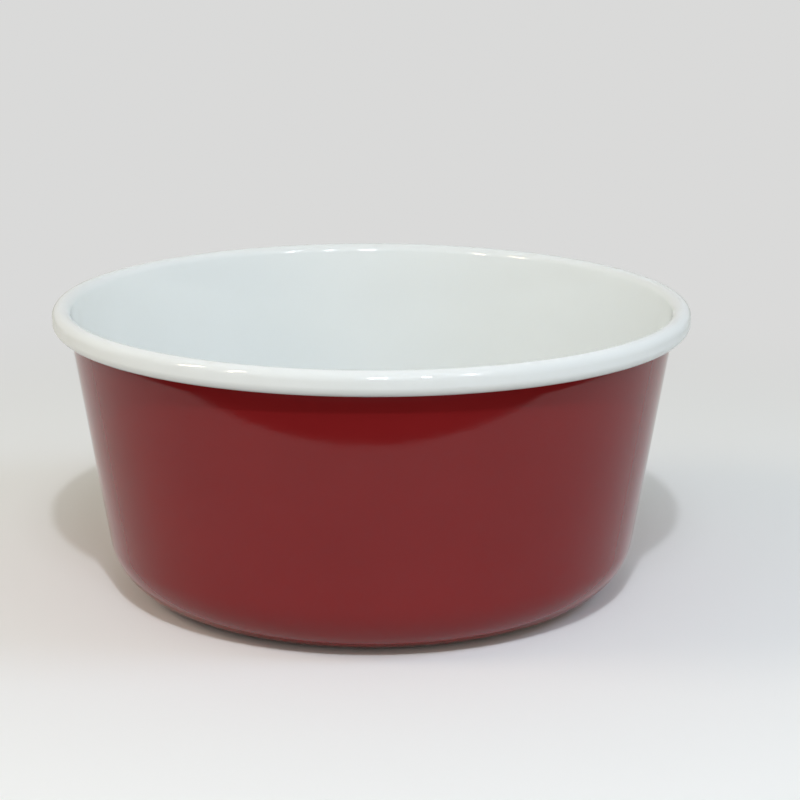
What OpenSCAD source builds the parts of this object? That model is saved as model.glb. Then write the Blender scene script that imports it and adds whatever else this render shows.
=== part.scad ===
// Enamel basin bowl: one pressed steel shell with a rolled rim, under its fired enamel coats.
// Millimetres, +Z up. The origin is on the table, at the centre of the standing ring.

/* [Bowl] */
// Outside diameter over the rolled rim
rim_d = 240; // [180:1:320]
// Height from the table to the top of the rim
bowl_h = 110; // [80:1:150]
// Lean of the wall from upright, in degrees
wall_lean = 9.2; // [4:0.1:14]
// Outer radius of the corner between the base and the wall
corner_r = 24; // [14:0.5:32]

/* [Rolled rim] */
// Width of the roll's section
roll_w = 7; // [6:0.1:8.5]
// Height of the roll's section
roll_h = 9; // [7.5:0.1:12]
// Gap between the tucked edge and the wall
seam_gap = 0.3; // [0.1:0.05:0.6]

/* [Base] */
// Width of the flat ring that the bowl stands on
ring_w = 6; // [4:0.5:10]
// Rise of the base panel above the standing ring
panel_rise = 1.5; // [0.5:0.1:3]
// Radius of the two bends between the panel and the ring
step_r = 5; // [3:0.5:8]

/* [Sheet and coats] */
// Thickness of the steel sheet
steel_t = 0.7; // [0.5:0.05:1]
// Thickness of the dark ground coat on each face
ground_t = 0.12; // [0.08:0.01:0.2]
// Thickness of the white cover coat
white_t = 0.28; // [0.15:0.01:0.4]
// Thickness of the red cover coat
red_t = 0.28; // [0.15:0.01:0.4]

/* [Hidden] */
$fn = 180;

// Largest turn between two points of a bend, in degrees
bend_step = 8;

// Depths are measured from the middle of the steel: plus to the inside of the bowl, minus to the outside
steel_face = steel_t / 2;
ground_face = steel_face + ground_t;
white_face = ground_face + white_t;
red_face = ground_face + red_t;

// Directions along the wall, upwards, and square to it, outwards
up_wall = [sin(wall_lean), cos(wall_lean)];
off_wall = [cos(wall_lean), -sin(wall_lean)];

// Roll: a top bend that leaves the wall, a straight side and a tucked bend
roll_r = roll_w / 2 - white_face;
roll_drop = roll_h - roll_w;
roll_centre = [rim_d / 2 - roll_w / 2, bowl_h - roll_w / 2];
tuck_centre = roll_centre - [0, roll_drop];
wall_top = roll_centre - roll_r * off_wall;

// The tucked edge ends where its outer corner comes within the seam gap of the red wall
tuck_depth = roll_r + roll_drop * sin(wall_lean);
tuck_end = wall_lean + asin((tuck_depth - red_face - seam_gap) / (roll_w / 2));
steel_end = tuck_end - ground_t / roll_r * 180 / PI;

// The red coat ends inside the roll, level with the middle of the tucked bend
red_top = tuck_centre - tuck_depth * off_wall;

// Corner, tangent to the standing ring and to the wall
bend_r = corner_r - red_face;
wall_foot_z = corner_r - bend_r * sin(wall_lean);
wall_foot = wall_top - up_wall * (wall_top.y - wall_foot_z) / cos(wall_lean);
corner_centre = wall_foot - bend_r * off_wall;

// Standing ring and raised base panel, joined by two equal bends
ring_z = red_face;
panel_z = ring_z + panel_rise;
step_turn = acos(1 - panel_rise / (2 * step_r));
ring_r = corner_centre.x - ring_w;
panel_r = ring_r - 2 * step_r * sin(step_turn);

// Points along a bend
function bend(centre, radius, start, end) =
    let (count = ceil(abs(end - start) / bend_step))
    [for (i = [0:count])
        let (turn = start + (end - start) * i / count)
        centre + radius * [cos(turn), sin(turn)]];

// Section line at one depth, from the axis over the panel, step, ring and corner to the foot of the wall
function base_line(depth) = concat(
    [[0, panel_z + depth]],
    bend([panel_r, panel_z - step_r], step_r + depth, 90, 90 - step_turn),
    bend([ring_r, ring_z + step_r], step_r - depth, 270 - step_turn, 270),
    bend(corner_centre, bend_r - depth, -90, -wall_lean)
);

// The same line carried on up the wall and round the roll, to an edge past the roll's lowest point
function rim_line(depth, edge) = concat(
    base_line(depth),
    bend(roll_centre, roll_r + depth, 180 - wall_lean, 0),
    bend(tuck_centre, roll_r + depth, 0, -90 - edge)
);

// The same line ended on the wall, inside the roll
function wall_line(depth) = concat(base_line(depth), [red_top - depth * off_wall]);

function reversed(points) = [for (i = [len(points) - 1:-1:0]) points[i]];

// Section between two lines
module section(outer, inner) {
    polygon(concat(outer, reversed(inner)));
}

module steel_section() {
    section(rim_line(-steel_face, steel_end), rim_line(steel_face, steel_end));
}

// Drawn steel shell with its rim rolled outwards
module steel_pressing() {
    color("silver")
        rotate_extrude()
            steel_section();
}

// First fired coat, over both faces of the steel and its raw edge
module ground_coat() {
    color([0.12, 0.13, 0.18])
        rotate_extrude()
            difference() {
                section(rim_line(-ground_face, tuck_end), rim_line(ground_face, tuck_end));
                steel_section();
            }
}

// White cover coat, inside the bowl and round the roll
module white_coat() {
    color([0.93, 0.95, 0.95])
        rotate_extrude()
            section(rim_line(ground_face, tuck_end), rim_line(white_face, tuck_end));
}

// Red cover coat, outside and underneath, up into the seam of the roll
module red_coat() {
    color([0.56, 0.10, 0.12])
        rotate_extrude()
            section(wall_line(-red_face), wall_line(-ground_face));
}

steel_pressing();
ground_coat();
white_coat();
red_coat();
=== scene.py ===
"""Looks of a round enamel bowl: white inside and over its rolled rim, deep red outside and underneath.

Metres, in the part's own frame: +Z up, the origin on the table at the centre of the standing ring.
"""
import math

import bpy
from mathutils import Matrix, Vector


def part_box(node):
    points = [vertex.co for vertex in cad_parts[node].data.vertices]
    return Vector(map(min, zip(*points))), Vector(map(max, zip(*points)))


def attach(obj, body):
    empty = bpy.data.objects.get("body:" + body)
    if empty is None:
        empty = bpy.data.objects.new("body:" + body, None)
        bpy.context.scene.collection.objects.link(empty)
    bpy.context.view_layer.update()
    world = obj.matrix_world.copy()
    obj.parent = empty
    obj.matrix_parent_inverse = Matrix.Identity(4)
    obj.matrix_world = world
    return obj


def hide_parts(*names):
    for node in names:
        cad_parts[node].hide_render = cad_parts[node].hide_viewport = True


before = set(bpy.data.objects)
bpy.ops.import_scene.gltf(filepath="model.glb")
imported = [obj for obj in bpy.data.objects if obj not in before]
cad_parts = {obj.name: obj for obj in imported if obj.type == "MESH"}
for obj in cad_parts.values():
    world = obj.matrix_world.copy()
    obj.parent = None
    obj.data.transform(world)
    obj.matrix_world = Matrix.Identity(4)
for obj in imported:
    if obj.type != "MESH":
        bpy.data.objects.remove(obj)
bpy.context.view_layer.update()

# Bowl, with the sizes of the part
rim_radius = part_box("white_coat")[1].x
bowl_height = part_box("white_coat")[1].z
wall_lean = math.radians(9.2)
corner_radius = 0.024
roll_width = 0.007
roll_height = 0.009
seam_gap = 0.0003
ring_width = 0.006
panel_rise = 0.0015
step_radius = 0.005

# Sheet and coats: their thicknesses, then their faces as depths from the middle of the steel
steel_thickness = 0.0007
ground_thickness = 0.00012
white_thickness = 0.00028
red_thickness = 0.00028
steel_face = steel_thickness / 2
ground_face = steel_face + ground_thickness
white_face = ground_face + white_thickness
red_face = ground_face + red_thickness

# Fineness of the turned shells: turns between points of seen bends, covered bends and fired edges, then
# the longest straight, the steps round the axis and the distance within which points join
seen_bend = math.radians(3)
covered_bend = math.radians(6)
edge_bend = math.radians(30)
ring_spacing = 0.008
steps_around = 320
join_distance = 0.000007

# Finishes: darkest and lightest tone, least and most roughness, and how strongly the cover coats mirror
white_tones = (0.772, 0.808, 0.802, 1), (0.802, 0.836, 0.829, 1)
white_gloss = 0.04, 0.08
white_index = 1.50
red_tones = (0.191, 0.0100, 0.0112, 1), (0.218, 0.0124, 0.0138, 1)
red_gloss = 0.04, 0.08
red_index = 1.37
ground_tones = (0.016, 0.018, 0.030, 1), (0.026, 0.028, 0.044, 1)
ground_gloss = 0.10, 0.25
steel_tones = (0.54, 0.54, 0.55, 1), (0.68, 0.68, 0.69, 1)
steel_gloss = 0.30, 0.50

# Skin: ripples, clouds of tone and hazier patches. The ground coat and the steel have finer ones
ripple_size = 0.006
ripple_depth = 0.00006
ripple_strength = 0.25
cloud_size = 0.035
haze_share = 0.4
skin_roughness = 0.45
ground_skin_share = 0.4
steel_skin_share = 0.6

# Greyer white where the coat thins at the tucked edge
thin_white = (0.45, 0.47, 0.52, 1)
thin_share = 0.25

# Scuffs on the standing ring
worn_red = (0.10, 0.012, 0.014, 1)
worn_roughness = 0.4
worn_height = red_face / 8
worn_softness = red_face / 3
scuff_scale = 700.0
scuff_detail = 3.0
scuff_from = 0.50
scuff_to = 0.62

# Specks in the ground coat
speck_tone = (0.10, 0.11, 0.16, 1)
speck_share = 0.5
speck_scale = 1500.0
speck_from = 0.22
speck_to = 0.12

# Faint rings that the drawing die leaves on the steel
die_mark = (0.40, 0.40, 0.41, 1)
die_mark_share = 0.2
die_mark_scale = 300.0
die_mark_waver = 2.0

# Table: its colour to the eye and in the light that it throws back, and the distances from the bowl
# between which it fades into the even background
table_size = 12
table_drop = 0.00005
table_colour = (0.910, 0.925, 0.920, 1)
table_bounce = (0.70, 0.70, 0.69, 1)
table_roughness = 0.9
background = (0.70, 0.70, 0.695, 1)
fade_from = 0.22
fade_to = 0.52

# Dark gap past the table's front edge, which the bowl mirrors and the camera doesn't see. The edge is
# an arc, and the gap fades out along Y towards the sides. Distances from the edge say where the gap gets
# paler and where it ends in a pale floor
edge_centre = (0.003, 0.118, 0)
edge_radius = 0.350
edge_blur = 0.006
edge_side_from = 0.08
edge_side_to = -0.14
past_edge = (0.012, 0.010, 0.009, 1)
far_past_edge = (0.15, 0.14, 0.14, 1)
far_past_from = 0.030
far_past_to = 0.075
floor_from = 0.10
floor_to = 0.20

# Room: light from low down, from the walls and from the ceiling, by the height of its direction. The
# gloss sees a dim room in front and the backdrop behind, by the direction along Y
room_low = (0.88, 0.87, 0.82, 1)
low_from = 0.12
low_to = 0.28
room_walls = (0.67, 0.66, 0.59, 1)
room_ceiling = (0.17, 0.17, 0.15, 1)
ceiling_from = 0.70
ceiling_to = 0.80
room_gloss = (0.08, 0.08, 0.08, 1)
backdrop_from = -0.10
backdrop_to = 0.30

# Lamps, all at one distance from the middle of the bowl: name, turn to the right of the front and rise
# in degrees, width, height, how white a card that faces the lamp is there, and the light's colour. The
# panels light the bowl and the table, and the gloss lamps only show as sparkles in the gloss
lamp_distance = 1.3
lamp_target = Vector((0, 0, bowl_height / 2))
warm = (1.0, 0.79, 0.60)
cool = (0.55, 0.72, 1.0)
daylight = (0.90, 0.93, 1.0)
soft_panels = [
    ("key_lamp", 1.5, 47.5, 0.04, 0.04, 0.25, daylight),
    ("front_panel", 2, 50, 0.30, 0.20, 0.18, daylight),
    ("left_panel", -76, 38, 0.40, 0.40, 0.16, warm),
    ("right_panel", 72, 42, 0.40, 0.40, 0.18, cool),
]
gloss_lamps = [
    ("front_lamp", 2.2, 37, 0.12, 0.35, 0.21, daylight),
    ("front_right_lamp", 20, 40, 0.05, 0.35, 0.13, daylight),
    ("right_lamp", 38, 40, 0.08, 0.35, 0.14, daylight),
    ("left_lamp", -51, 36, 0.06, 0.35, 0.16, warm),
    ("far_left_lamp", -70.5, 36, 0.06, 0.35, 0.18, warm),
]

# Camera, placed to give the photograph's outline of the bowl
camera_distance = 0.8736
camera_height = 0.2905
camera_pitch = math.radians(14.130)
camera_yaw = math.radians(0.7045)
camera_roll = math.radians(0.211)
camera_lens = 106.05
camera_sensor = 36

# Section of the bowl: directions along the wall and square to it, then the centres of its bends
quarter = math.pi / 2
up_wall = Vector((math.sin(wall_lean), math.cos(wall_lean)))
off_wall = Vector((math.cos(wall_lean), -math.sin(wall_lean)))

roll_bend = roll_width / 2 - white_face
roll_drop = roll_height - roll_width
roll_centre = Vector((rim_radius - roll_width / 2, bowl_height - roll_width / 2))
tuck_centre = roll_centre - Vector((0, roll_drop))
wall_top = roll_centre - roll_bend * off_wall
tuck_depth = roll_bend + roll_drop * math.sin(wall_lean)
tuck_end = wall_lean + math.asin((tuck_depth - red_face - seam_gap) / (roll_width / 2))
red_top = tuck_centre - tuck_depth * off_wall

corner_bend = corner_radius - red_face
wall_foot_height = corner_radius - corner_bend * math.sin(wall_lean)
wall_foot = wall_top - up_wall * ((wall_top.y - wall_foot_height) / math.cos(wall_lean))
corner_centre = wall_foot - corner_bend * off_wall

panel_height = red_face + panel_rise
step_turn = math.acos(1 - panel_rise / (2 * step_radius))
ring_radius = corner_centre.x - ring_width
panel_radius = ring_radius - 2 * step_radius * math.sin(step_turn)


def bend(centre, radius, start, end, step):
    """Points along a bend, both ends included."""
    count = math.ceil(abs(end - start) / step)
    turns = [start + (end - start) * i / count for i in range(count + 1)]
    return [centre + radius * Vector((math.cos(t), math.sin(t))) for t in turns]


def filled(points, spacing):
    """The same points, with even ones between any two that lie further apart than the spacing."""
    line = points[:1]
    for a, b in zip(points, points[1:]):
        count = max(1, math.ceil((b - a).length / spacing))
        line += [a.lerp(b, i / count) for i in range(1, count + 1)]
    return line


def base_line(depth, step):
    """Section line at one depth, plus inwards, from the axis to the foot of the wall."""
    below_panel = Vector((panel_radius, panel_height - step_radius))
    above_ring = Vector((ring_radius, red_face + step_radius))
    return [
        Vector((0, panel_height + depth)),
        *bend(below_panel, step_radius + depth, quarter, quarter - step_turn, step),
        *bend(above_ring, step_radius - depth, 3 * quarter - step_turn, 3 * quarter, step),
        *bend(corner_centre, corner_bend - depth, -quarter, -wall_lean, step),
    ]


def rim_line(depth, step):
    """The same line carried on up the wall and round the roll, to the tucked edge."""
    return [
        *base_line(depth, step),
        *bend(roll_centre, roll_bend + depth, math.pi - wall_lean, 0, step),
        *bend(tuck_centre, roll_bend + depth, 0, -quarter - tuck_end, step),
    ]


def wall_line(depth, step):
    """The same line ended on the wall, inside the roll."""
    return [*base_line(depth, step), red_top - depth * off_wall]


def coat_section(seen, covered):
    """Section of a coat: seen face, fired edge and covered face, ordered so that it faces outwards."""
    middle = (seen[-1] + covered[-1]) / 2
    spoke = seen[-1] - middle
    along = seen[-1] - seen[-2]
    start = math.atan2(spoke.y, spoke.x)
    half_turn = math.copysign(math.pi, spoke.cross(along))
    edge = bend(middle, spoke.length, start, start + half_turn, edge_bend)
    section = filled(seen, ring_spacing) + edge[1:-1] + covered[::-1]
    area = sum(a.cross(b) for a, b in zip(section, section[1:] + section[:1]))
    return section[::-1] if area > 0 else section


def add_node(tree, kind, inputs=None, **settings):
    """A new node with its settings and inputs. An input is named, or numbered where names repeat."""
    node = tree.nodes.new(kind)
    for name, value in settings.items():
        setattr(node, name, value)
    for key, value in (inputs or {}).items():
        if isinstance(value, bpy.types.NodeSocket):
            tree.links.new(value, node.inputs[key])
        else:
            node.inputs[key].default_value = value
    return node


def turned_coat_tree():
    """Geometry nodes that turn a coat's section round the bowl's axis."""
    tree = bpy.data.node_groups.new("turned_coat", "GeometryNodeTree")
    face = tree.interface
    face.new_socket("Section", in_out="INPUT", socket_type="NodeSocketGeometry")
    face.new_socket("Steps Around", in_out="INPUT", socket_type="NodeSocketInt")
    face.new_socket("Core Radius", in_out="INPUT", socket_type="NodeSocketFloat")
    face.new_socket("Join Distance", in_out="INPUT", socket_type="NodeSocketFloat")
    face.new_socket("Finish", in_out="INPUT", socket_type="NodeSocketMaterial")
    face.new_socket("Coat", in_out="OUTPUT", socket_type="NodeSocketGeometry")
    given = add_node(tree, "NodeGroupInput").outputs
    line = add_node(tree, "GeometryNodeMeshToCurve", {"Mesh": given["Section"]})
    inward = add_node(tree, "ShaderNodeMath", {0: given["Core Radius"], 1: -1.0}, operation="MULTIPLY")
    shift = add_node(tree, "ShaderNodeCombineXYZ", {"X": inward.outputs[0]})
    profile = add_node(tree, "GeometryNodeTransform", {
        "Geometry": line.outputs["Curve"],
        "Translation": shift.outputs["Vector"],
        "Rotation": (math.pi, 0, 0),
    })
    core = add_node(tree, "GeometryNodeCurvePrimitiveCircle", {
        "Resolution": given["Steps Around"],
        "Radius": given["Core Radius"],
    })
    turned = add_node(tree, "GeometryNodeCurveToMesh", {
        "Curve": core.outputs["Curve"],
        "Profile Curve": profile.outputs["Geometry"],
    })
    closed = add_node(tree, "GeometryNodeMergeByDistance", {
        "Geometry": turned.outputs["Mesh"],
        "Distance": given["Join Distance"],
    })
    smooth = add_node(tree, "GeometryNodeSetShadeSmooth", {"Geometry": closed.outputs["Geometry"]})
    real = add_node(tree, "GeometryNodeRealizeInstances", {"Geometry": smooth.outputs["Geometry"]})
    finished = add_node(tree, "GeometryNodeSetMaterial", {
        "Geometry": real.outputs["Geometry"],
        "Material": given["Finish"],
    })
    add_node(tree, "NodeGroupOutput", {"Coat": finished.outputs["Geometry"]})
    return tree


def turned_coat(name, section, tree, finish):
    """A closed shell of enamel, turned from its section."""
    line = bpy.data.meshes.new(name)
    steps = [(i, i + 1) for i in range(len(section) - 1)]
    line.from_pydata([(p.x, p.y, 0) for p in section], steps, [])
    shell = bpy.data.objects.new(name, line)
    bpy.context.scene.collection.objects.link(shell)
    turning = shell.modifiers.new("turned", "NODES")
    turning.node_group = tree
    values = {
        "Steps Around": steps_around,
        "Core Radius": rim_radius,
        "Join Distance": join_distance,
        "Finish": finish,
    }
    for socket in tree.interface.items_tree:
        if socket.name in values:
            turning[socket.identifier] = values[socket.name]
    graph = bpy.context.evaluated_depsgraph_get()
    solid = bpy.data.meshes.new_from_object(shell.evaluated_get(graph), depsgraph=graph)
    shell.modifiers.remove(turning)
    shell.data = solid
    bpy.data.meshes.remove(line)
    solid.name = name
    return shell


def calculated(tree, operation, first, second):
    """One sum on two values."""
    return add_node(tree, "ShaderNodeMath", {0: first, 1: second}, operation=operation).outputs[0]


def mixed(tree, share, first, second):
    """Colour between two others."""
    return add_node(tree, "ShaderNodeMix", {0: share, 6: first, 7: second}, data_type="RGBA").outputs[2]


def ranged(tree, value, limits):
    """A value from 0 to 1 spread between two others."""
    low, high = limits
    inputs = {"Value": value, "To Min": low, "To Max": high}
    return add_node(tree, "ShaderNodeMapRange", inputs).outputs[0]


def stepped(tree, value, start, end):
    """A soft step from 0 to 1 as a value goes from a start to an end."""
    inputs = {"Value": value, "From Min": start, "From Max": end}
    return add_node(tree, "ShaderNodeMapRange", inputs, interpolation_type="SMOOTHSTEP").outputs[0]


def new_group(name, inputs, outputs):
    """A shader node group with named values in and out, and its two end nodes."""
    group = bpy.data.node_groups.new(name, "ShaderNodeTree")
    for label in inputs:
        group.interface.new_socket(label, in_out="INPUT", socket_type="NodeSocketFloat")
    for label in outputs:
        group.interface.new_socket(label, in_out="OUTPUT", socket_type="NodeSocketFloat")
    return group, add_node(group, "NodeGroupInput").outputs, add_node(group, "NodeGroupOutput").inputs


def fired_skin_group():
    """The skin of a fired coat: faint ripples, clouds of tone and hazier patches."""
    labels = ["Ripple", "Cloud", "Haze"]
    group, given, made = new_group("fired_skin", ["Ripple Size", "Cloud Size"], labels)
    place = add_node(group, "ShaderNodeTexCoord").outputs["Object"]
    sizes = {
        "Ripple": given["Ripple Size"],
        "Cloud": given["Cloud Size"],
        "Haze": calculated(group, "MULTIPLY", given["Cloud Size"], haze_share),
    }
    for label, size in sizes.items():
        scale = calculated(group, "DIVIDE", 1.0, size)
        inputs = {"Vector": place, "Scale": scale, "Roughness": skin_roughness}
        noise = add_node(group, "ShaderNodeTexNoise", inputs)
        group.links.new(noise.outputs["Fac"], made[label])
    return group


def ring_band_group():
    """A mask of what lies between two heights above the table and beyond a radius, with soft edges."""
    group, given, made = new_group("ring_band", ["Low", "High", "Radius", "Softness"], ["Mask"])
    place = add_node(group, "ShaderNodeTexCoord").outputs["Object"]
    height = add_node(group, "ShaderNodeSeparateXYZ", {"Vector": place}).outputs["Z"]
    inputs = {0: place, 1: (1, 1, 0)}
    flat = add_node(group, "ShaderNodeVectorMath", inputs, operation="MULTIPLY").outputs[0]
    reach = add_node(group, "ShaderNodeVectorMath", {0: flat}, operation="LENGTH").outputs["Value"]
    under = calculated(group, "SUBTRACT", given["Low"], given["Softness"])
    over = calculated(group, "ADD", given["High"], given["Softness"])
    within = calculated(group, "SUBTRACT", given["Radius"], given["Softness"])
    above = stepped(group, height, under, given["Low"])
    below = stepped(group, height, over, given["High"])
    outside = stepped(group, reach, within, given["Radius"])
    band = calculated(group, "MULTIPLY", above, below)
    group.links.new(calculated(group, "MULTIPLY", band, outside), made["Mask"])
    return group


fired_skin = fired_skin_group()
ring_band = ring_band_group()


def new_material(name):
    """A material with its node tree and its shader."""
    material = bpy.data.materials.new(name)
    material.use_nodes = True
    return material, material.node_tree, material.node_tree.nodes["Principled BSDF"]


def new_skin(tree, share=1):
    """The skin of a fired coat, on a share of its usual scale."""
    values = {"Ripple Size": ripple_size * share, "Cloud Size": cloud_size * share}
    return add_node(tree, "ShaderNodeGroup", values, node_tree=fired_skin).outputs


def ripple_bump(tree, skin, shader):
    """Lets the ripples of a skin bend the gloss."""
    values = {"Height": skin["Ripple"], "Strength": ripple_strength, "Distance": ripple_depth}
    bump = add_node(tree, "ShaderNodeBump", values)
    tree.links.new(bump.outputs["Normal"], shader.inputs["Normal"])


def white_enamel():
    """Glossy white cover coat, a little grey where it thins at the tucked edge."""
    material, tree, shader = new_material("white_enamel")
    skin = new_skin(tree)
    values = {
        "Low": 0.0,
        "High": tuck_centre.y - roll_width / 2 + white_face,
        "Radius": red_top.x,
        "Softness": white_face,
    }
    edge = add_node(tree, "ShaderNodeGroup", values, node_tree=ring_band).outputs["Mask"]
    body = mixed(tree, skin["Cloud"], *white_tones)
    thin = calculated(tree, "MULTIPLY", edge, thin_share)
    tree.links.new(mixed(tree, thin, body, thin_white), shader.inputs["Base Color"])
    tree.links.new(ranged(tree, skin["Haze"], white_gloss), shader.inputs["Roughness"])
    shader.inputs["IOR"].default_value = white_index
    ripple_bump(tree, skin, shader)
    return material


def red_enamel():
    """Glossy wine-red cover coat, scuffed on the standing ring."""
    material, tree, shader = new_material("red_enamel")
    skin = new_skin(tree)
    values = {"Low": 0.0, "High": worn_height, "Radius": panel_radius, "Softness": worn_softness}
    foot = add_node(tree, "ShaderNodeGroup", values, node_tree=ring_band).outputs["Mask"]
    place = add_node(tree, "ShaderNodeTexCoord").outputs["Object"]
    inputs = {"Vector": place, "Scale": scuff_scale, "Detail": scuff_detail}
    scratches = add_node(tree, "ShaderNodeTexNoise", inputs).outputs["Fac"]
    scuffs = stepped(tree, scratches, scuff_from, scuff_to)
    worn = calculated(tree, "MULTIPLY", foot, scuffs)
    body = mixed(tree, skin["Cloud"], *red_tones)
    tree.links.new(mixed(tree, worn, body, worn_red), shader.inputs["Base Color"])
    dulled = calculated(tree, "MULTIPLY", worn, worn_roughness)
    rough = calculated(tree, "ADD", ranged(tree, skin["Haze"], red_gloss), dulled)
    tree.links.new(rough, shader.inputs["Roughness"])
    shader.inputs["IOR"].default_value = red_index
    ripple_bump(tree, skin, shader)
    return material


def ground_enamel():
    """Dark ground coat with fine blue specks, seen only in the rim's seam."""
    material, tree, shader = new_material("ground_enamel")
    skin = new_skin(tree, ground_skin_share)
    place = add_node(tree, "ShaderNodeTexCoord").outputs["Object"]
    cells = add_node(tree, "ShaderNodeTexVoronoi", {"Vector": place, "Scale": speck_scale})
    specks = stepped(tree, cells.outputs["Distance"], speck_from, speck_to)
    body = mixed(tree, skin["Cloud"], *ground_tones)
    share = calculated(tree, "MULTIPLY", specks, speck_share)
    tree.links.new(mixed(tree, share, body, speck_tone), shader.inputs["Base Color"])
    tree.links.new(ranged(tree, skin["Haze"], ground_gloss), shader.inputs["Roughness"])
    return material


def drawn_steel():
    """Satin sheet steel with faint rings from the drawing die, covered by the coats."""
    material, tree, shader = new_material("drawn_steel")
    skin = new_skin(tree, steel_skin_share)
    place = add_node(tree, "ShaderNodeTexCoord").outputs["Object"]
    inputs = {"Vector": place, "Scale": die_mark_scale, "Distortion": die_mark_waver}
    rings = add_node(tree, "ShaderNodeTexWave", inputs, wave_type="RINGS", rings_direction="Z")
    body = mixed(tree, skin["Cloud"], *steel_tones)
    share = calculated(tree, "MULTIPLY", rings.outputs["Fac"], die_mark_share)
    tree.links.new(mixed(tree, share, body, die_mark), shader.inputs["Base Color"])
    tree.links.new(ranged(tree, skin["Haze"], steel_gloss), shader.inputs["Roughness"])
    shader.inputs["Metallic"].default_value = 1
    return material


def dress(piece, node):
    """Puts a new piece on the bowl in place of its solid."""
    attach(piece, "root")
    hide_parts(node)


def set_material(piece, material):
    """Gives an object its only finish."""
    piece.data.materials.clear()
    piece.data.materials.append(material)


coat_tree = turned_coat_tree()
white_section = coat_section(rim_line(white_face, seen_bend), rim_line(ground_face, covered_bend))
red_section = coat_section(wall_line(-red_face, seen_bend), wall_line(-ground_face, covered_bend))
white_shell = turned_coat("white_shell", white_section, coat_tree, white_enamel())
red_shell = turned_coat("red_shell", red_section, coat_tree, red_enamel())
dress(white_shell, "white_coat")
dress(red_shell, "red_coat")
set_material(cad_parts["ground_coat"], ground_enamel())
set_material(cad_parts["steel_pressing"], drawn_steel())


def table_finish():
    """Pale table that fades into the background, with a dark gap past its front edge in reflections."""
    material, tree, shader = new_material("table")
    path = add_node(tree, "ShaderNodeLightPath").outputs
    camera_ray = path["Is Camera Ray"]
    colour = mixed(tree, path["Is Diffuse Ray"], table_colour, table_bounce)
    tree.links.new(colour, shader.inputs["Base Color"])
    shader.inputs["Roughness"].default_value = table_roughness
    shader.inputs["Specular IOR Level"].default_value = 0
    place = add_node(tree, "ShaderNodeTexCoord").outputs["Object"]

    away = add_node(tree, "ShaderNodeVectorMath", {0: place}, operation="LENGTH").outputs["Value"]
    far = calculated(tree, "MULTIPLY", stepped(tree, away, fade_from, fade_to), camera_ray)
    even = add_node(tree, "ShaderNodeEmission", {"Color": background})
    faded = add_node(tree, "ShaderNodeMixShader", {0: far, 1: shader.outputs[0], 2: even.outputs[0]})

    inputs = {0: place, 1: edge_centre}
    out = add_node(tree, "ShaderNodeVectorMath", inputs, operation="DISTANCE").outputs["Value"]
    past = stepped(tree, out, edge_radius, edge_radius + edge_blur)
    near = stepped(tree, out, edge_radius + floor_to, edge_radius + floor_from)
    back = add_node(tree, "ShaderNodeSeparateXYZ", {"Vector": place}).outputs["Y"]
    front = stepped(tree, back, edge_side_from, edge_side_to)
    unseen = calculated(tree, "SUBTRACT", 1.0, camera_ray)
    gap = calculated(tree, "MULTIPLY", past, near)
    front_gap = calculated(tree, "MULTIPLY", gap, front)
    mirrored_gap = calculated(tree, "MULTIPLY", front_gap, unseen)
    further = stepped(tree, out, edge_radius + far_past_from, edge_radius + far_past_to)
    shade = mixed(tree, further, past_edge, far_past_edge)
    dark = add_node(tree, "ShaderNodeEmission", {"Color": shade})
    inputs = {0: mirrored_gap, 1: faded.outputs[0], 2: dark.outputs[0]}
    edged = add_node(tree, "ShaderNodeMixShader", inputs)

    underside = add_node(tree, "ShaderNodeNewGeometry").outputs["Backfacing"]
    clear = add_node(tree, "ShaderNodeBsdfTransparent")
    see_through = calculated(tree, "MULTIPLY", underside, camera_ray)
    inputs = {0: see_through, 1: edged.outputs[0], 2: clear.outputs[0]}
    whole = add_node(tree, "ShaderNodeMixShader", inputs)
    tree.links.new(whole.outputs[0], tree.nodes["Material Output"].inputs["Surface"])
    return material


def make_table():
    """Flat table under the bowl."""
    half = table_size / 2
    mesh = bpy.data.meshes.new("table")
    corners = [(-half, -half), (half, -half), (half, half), (-half, half)]
    mesh.from_pydata([(x, y, -table_drop) for x, y in corners], [], [(0, 1, 2, 3)])
    table = bpy.data.objects.new("table", mesh)
    bpy.context.scene.collection.objects.link(table)
    set_material(table, table_finish())


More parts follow.
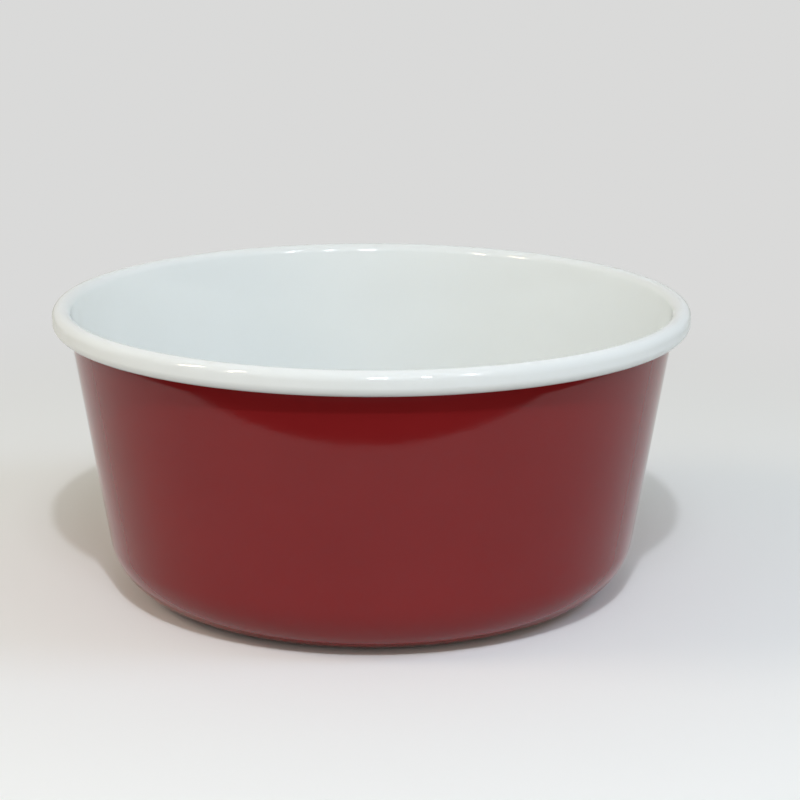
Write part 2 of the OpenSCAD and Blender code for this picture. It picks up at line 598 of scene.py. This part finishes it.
def make_room():
    """Soft light of a room, of which the camera sees only an even backdrop."""
    world = bpy.data.worlds.new("room")
    world.use_nodes = True
    tree = world.node_tree
    tree.nodes.clear()
    toward = add_node(tree, "ShaderNodeTexCoord").outputs["Generated"]
    ways = add_node(tree, "ShaderNodeSeparateXYZ", {"Vector": toward}).outputs
    up = ways["Z"]
    back = ways["Y"]
    sides = mixed(tree, stepped(tree, up, low_from, low_to), room_low, room_walls)
    light = mixed(tree, stepped(tree, up, ceiling_from, ceiling_to), sides, room_ceiling)
    path = add_node(tree, "ShaderNodeLightPath").outputs
    gloss = mixed(tree, stepped(tree, back, backdrop_from, backdrop_to), room_gloss, background)
    mirrored = mixed(tree, path["Is Glossy Ray"], light, gloss)
    seen = mixed(tree, path["Is Camera Ray"], mirrored, background)
    shine = add_node(tree, "ShaderNodeBackground", {"Color": seen})
    add_node(tree, "ShaderNodeOutputWorld", {"Surface": shine.outputs[0]})
    bpy.context.scene.world = world


def make_lamp(name, turn, rise, width, height, white, colour):
    """Flat lamp aimed at the bowl."""
    turn = math.radians(turn)
    rise = math.radians(rise)
    level = Vector((math.sin(turn), -math.cos(turn), 0))
    toward = level * math.cos(rise) + Vector((0, 0, math.sin(rise)))
    data = bpy.data.lights.new(name, "AREA")
    data.shape = "RECTANGLE"
    data.size = width
    data.size_y = height
    data.color = colour
    data.energy = white * (math.pi * lamp_distance) ** 2
    lamp = bpy.data.objects.new(name, data)
    lamp.location = lamp_target + toward * lamp_distance
    lamp.rotation_euler = toward.to_track_quat("Z", "Y").to_euler()
    lamp.visible_camera = False
    bpy.context.scene.collection.objects.link(lamp)
    return lamp


def make_camera():
    """Camera in front of the bowl, looking down on it a little."""
    data = bpy.data.cameras.new("camera")
    data.lens = camera_lens
    data.sensor_width = camera_sensor
    camera = bpy.data.objects.new("camera", data)
    place = Matrix.Translation((0, -camera_distance, camera_height))
    aim = Matrix.Rotation(-camera_yaw, 4, "Z") @ Matrix.Rotation(quarter - camera_pitch, 4, "X")
    camera.matrix_world = place @ aim @ Matrix.Rotation(camera_roll, 4, "Z")
    bpy.context.scene.collection.objects.link(camera)
    bpy.context.scene.camera = camera


make_table()
make_room()
for panel in soft_panels:
    make_lamp(*panel).visible_glossy = False
for lamp in gloss_lamps:
    make_lamp(*lamp).visible_diffuse = False
make_camera()
bpy.context.scene.view_settings.view_transform = "Standard"
